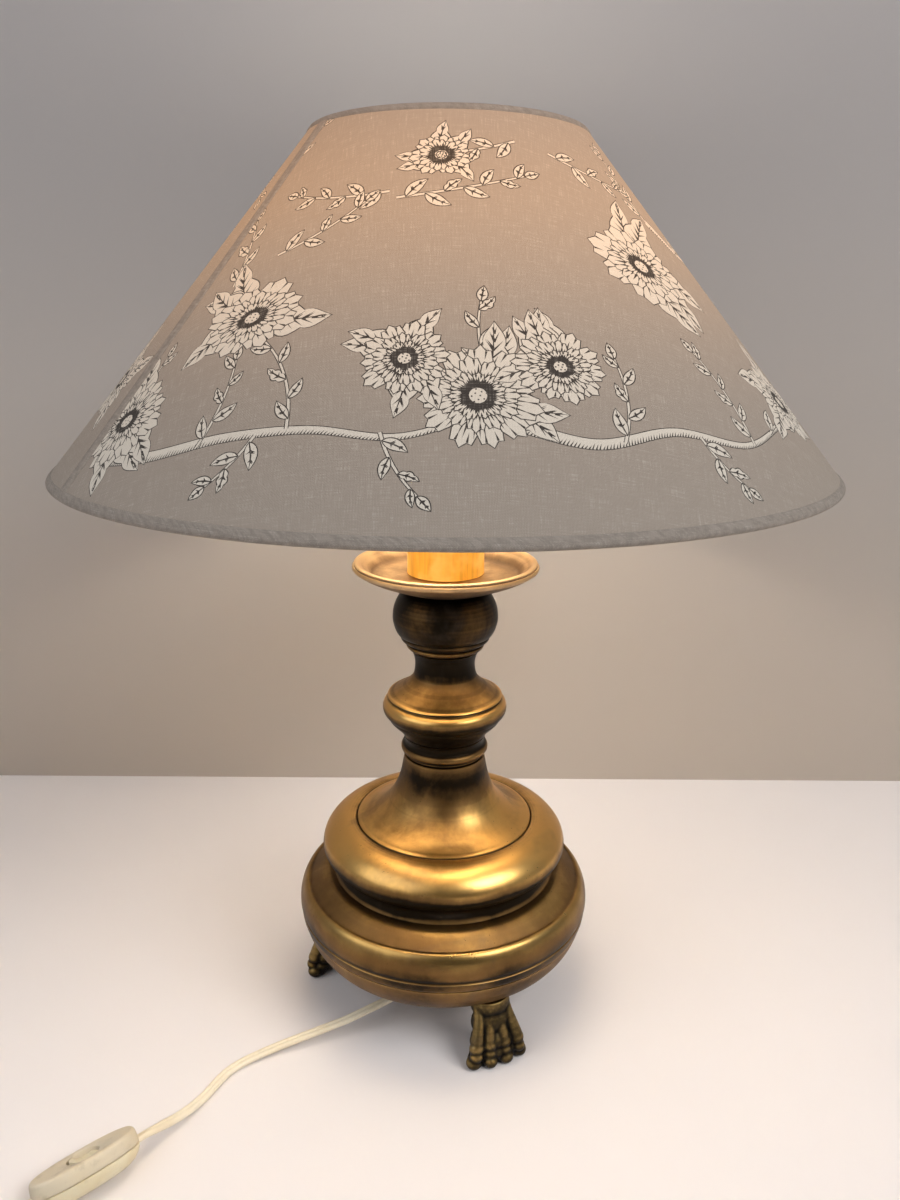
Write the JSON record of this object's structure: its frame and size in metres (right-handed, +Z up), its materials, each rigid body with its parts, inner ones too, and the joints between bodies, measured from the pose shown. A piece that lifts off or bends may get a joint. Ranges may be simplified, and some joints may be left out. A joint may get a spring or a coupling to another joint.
{
  "type": "table lamp",
  "caption": "Turned brass table lamp on three paw feet with a drip pan, candle sleeve, wide conical fabric shade and a flat lead with an inline rocker switch and plug.",
  "frame": {"origin": "on the table, under the lamp's axis, at the level of the feet's soles", "axes": "+Z up along the lamp's axis, -Y towards the viewer of the picture, +X to the viewer's right"},
  "size_m": [0.4925, 0.5528, 0.5451],
  "materials": {
    "brass": "aged, patinated, satin sheen with dark recesses",
    "foot_bronze": "cast and darkly patinated, worn on the knuckles",
    "steel": "plain, slightly dull",
    "sleeve_amber": "satin, candle-like",
    "holder_ceramic": "glazed insulating body",
    "holder_nickel": "nickel-plated, slightly dull",
    "bulb_white": "opal, frosted",
    "shade_fabric": "taupe linen weave printed with a charcoal and cream floral pattern",
    "shade_backing": "stiff off-white laminate",
    "lead_ivory": "yellowed ivory, slightly soft",
    "switch_drab": "grey-beige, semi-gloss",
    "switch_cream": "yellowed cream, semi-gloss",
    "contact_brass": "bare stamped contacts",
    "tie_black": "plastic-coated wire"
  },
  "bodies": {
    "lamp_stand": {"base_bowl": "brass", "base_shell": "brass", "clamp_plate": "steel", "foot_front": "foot_bronze", "foot_left": "foot_bronze", "foot_rear": "foot_bronze", "foot_screw_front": "steel", "foot_screw_left": "steel", "foot_screw_rear": "steel", "base_cushion": "brass", "bell": "brass", "collar_ring": "brass", "saucer_knop": "brass", "ball_knop": "brass", "drip_pan": "brass", "candle_sleeve": "sleeve_amber", "sleeve_cap": "brass", "holder_cup": "brass", "holder_skirt": "brass", "holder_core": "holder_ceramic", "holder_screw_shell": "holder_nickel", "holder_contact": "holder_nickel", "threaded_tube": "steel", "bottom_washer": "steel", "bottom_nut": "steel", "lock_nut": "steel", "cord_bush": "lead_ivory", "inner_lead": "lead_ivory", "switch_top": "switch_drab", "switch_base": "switch_cream", "switch_screw_near": "steel", "switch_screw_far": "steel", "rocker_pin": "steel", "switch_contacts": "contact_brass", "cord_run": "lead_ivory", "cord_coil": "lead_ivory", "cord_tail": "lead_ivory", "cord_tie": "tie_black", "plug_body": "lead_ivory", "plug_pin_left": "holder_nickel", "plug_pin_right": "holder_nickel"},
    "shade": {"shade_cover": "shade_fabric", "shade_backing": "shade_backing", "shade_bottom_wire": "steel", "shade_fitter": "steel", "shade_arm_back": "steel", "shade_arm_left": "steel", "shade_arm_right": "steel", "shade_top_wire": "steel"},
    "ring_nut": {"shade_ring_nut": "brass"},
    "bulb_envelope": {"bulb_glass": "bulb_white"},
    "bulb_screw": {"bulb_cap": "holder_nickel", "bulb_contact": "holder_nickel", "bulb_stem": "bulb_white"},
    "rocker": {"switch_rocker": "switch_cream"}
  },
  "joints": [
    {"name": "shade_turn", "type": "hinge", "parent": "lamp_stand", "child": "shade", "pos_m": [0, 0, 0.4427], "axis": [0, 0, 1], "continuous": true},
    {"name": "ring_nut_turn", "type": "hinge", "parent": "lamp_stand", "child": "ring_nut", "pos_m": [0, 0, 0.4483], "axis": [0, 0, 1], "range_deg": [0, 1080]},
    {"name": "bulb_lift", "type": "slide", "parent": "lamp_stand", "child": "bulb_envelope", "axis": [0, 0, 1], "range_m": [0, 0.0181]},
    {"name": "bulb_turn", "type": "hinge", "parent": "bulb_envelope", "child": "bulb_screw", "pos_m": [0, 0, 0.4434], "axis": [0, 0, 1], "range_deg": [0, 1802]},
    {"name": "rocker_tilt", "type": "hinge", "parent": "lamp_stand", "child": "rocker", "pos_m": [-0.18998, -0.17184, 0.01365], "axis": [-0.5965, 0.6397, -0.4848], "range_deg": [-18, 0]}
  ],
  "couplings": [
    {"joint": "bulb_turn", "follows": "bulb_lift", "rad_per_m": 1735.7}
  ]
}
